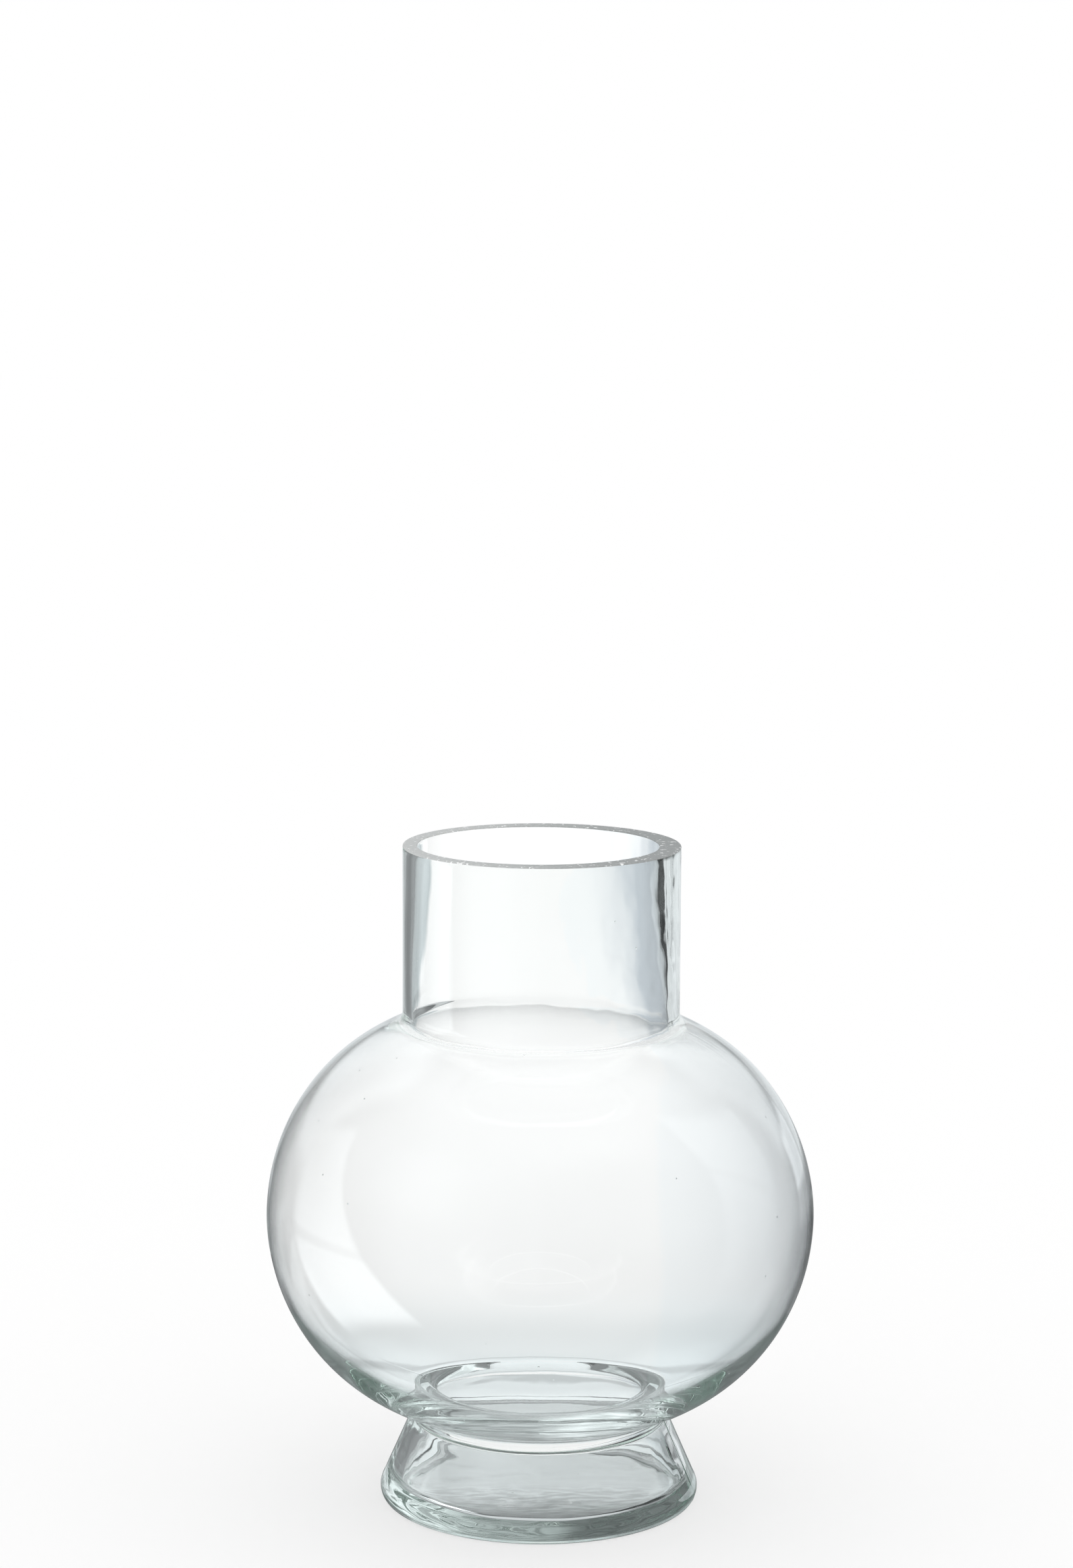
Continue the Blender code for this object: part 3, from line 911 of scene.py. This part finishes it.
def make_floor(backdrop):
    """The floor that carries the vase's shadow. Reflected light passes it, less so under the painted shade
    near the vase's right, and comes from the studio alone.
    """
    bm = bmesh.new()
    bmesh.ops.create_circle(bm, cap_ends=True, radius=FLOOR_RADIUS, segments=FLOOR_SIDES)
    mesh = bpy.data.meshes.new("floor")
    bm.to_mesh(mesh)
    bm.free()
    floor = bpy.data.objects.new("floor", mesh)
    bpy.context.scene.collection.objects.link(floor)
    material = bpy.data.materials.new("pale_floor")
    material.use_nodes = True
    tree = material.node_tree
    tree.nodes.clear()
    place = tree.nodes.new("ShaderNodeTexCoord").outputs["Object"]
    from_camera = vector_node(tree, "SUBTRACT", place, (CAMERA_SIDE, -CAMERA_DISTANCE, 0))
    behind = group_light(tree, backdrop, from_camera)["Light"]
    parts = parts_of(tree, place)
    # Painted shade on reflections: the floor lets less reflected light through near the vase's right
    painted_shade = math_node(tree, "SUBTRACT", 1.0, ramp(tree, parts["Y"], *SHADED_TABLE_END))
    painted_shade = math_node(tree, "MULTIPLY", painted_shade, ramp(tree, parts["X"], *SHADED_TABLE_SIDE))
    lets = math_node(tree, "SUBTRACT", 1.0, math_node(tree, "MULTIPLY", painted_shade, SHADED_TABLE_LOSS))
    clear = tree.nodes.new("ShaderNodeBsdfTransparent")
    tree.links.new(vector_node(tree, "SCALE", (1, 1, 1), lets), clear.inputs["Color"])
    plain = mixed_colour(tree, seen_through(tree), (1, 1, 1, 1), behind)
    diffuse = tree.nodes.new("ShaderNodeBsdfDiffuse")
    tree.links.new(vector_node(tree, "SCALE", plain, FLOOR_MATT), diffuse.inputs["Color"])
    lift = tree.nodes.new("ShaderNodeEmission")
    lift.inputs["Strength"].default_value = 1 - FLOOR_MATT
    tree.links.new(plain, lift.inputs["Color"])
    pale = tree.nodes.new("ShaderNodeAddShader")
    tree.links.new(diffuse.outputs[0], pale.inputs[0])
    tree.links.new(lift.outputs[0], pale.inputs[1])
    mix = tree.nodes.new("ShaderNodeMixShader")
    tree.links.new(seen_white(tree), mix.inputs["Fac"])
    tree.links.new(clear.outputs[0], mix.inputs[1])
    tree.links.new(pale.outputs[0], mix.inputs[2])
    output = tree.nodes.new("ShaderNodeOutputMaterial")
    tree.links.new(mix.outputs[0], output.inputs["Surface"])
    mesh.materials.append(material)


def make_camera():
    """The camera of the photograph."""
    data = bpy.data.cameras.new("camera")
    data.lens = CAMERA_LENS
    data.sensor_width = FILM_SIDE
    camera = bpy.data.objects.new("camera", data)
    bpy.context.scene.collection.objects.link(camera)
    tilt = Matrix.Rotation(math.pi / 2 - CAMERA_PITCH, 4, "X") @ Matrix.Rotation(CAMERA_ROLL, 4, "Z")
    camera.matrix_world = Matrix.Translation((CAMERA_SIDE, -CAMERA_DISTANCE, CAMERA_HEIGHT)) @ tilt
    bpy.context.scene.camera = camera


def set_light_paths():
    """Enough bounces for light to cross both walls and run inside the thick base."""
    cycles = bpy.context.scene.cycles
    cycles.max_bounces = LIGHT_BOUNCES
    cycles.glossy_bounces = LIGHT_BOUNCES
    cycles.transmission_bounces = LIGHT_BOUNCES
    bpy.context.scene.view_settings.view_transform = "Standard"


make_vessel()
studio = studio_group()
backdrop = backdrop_group()
make_world(studio, backdrop)
make_floor(backdrop)
make_camera()
set_light_paths()
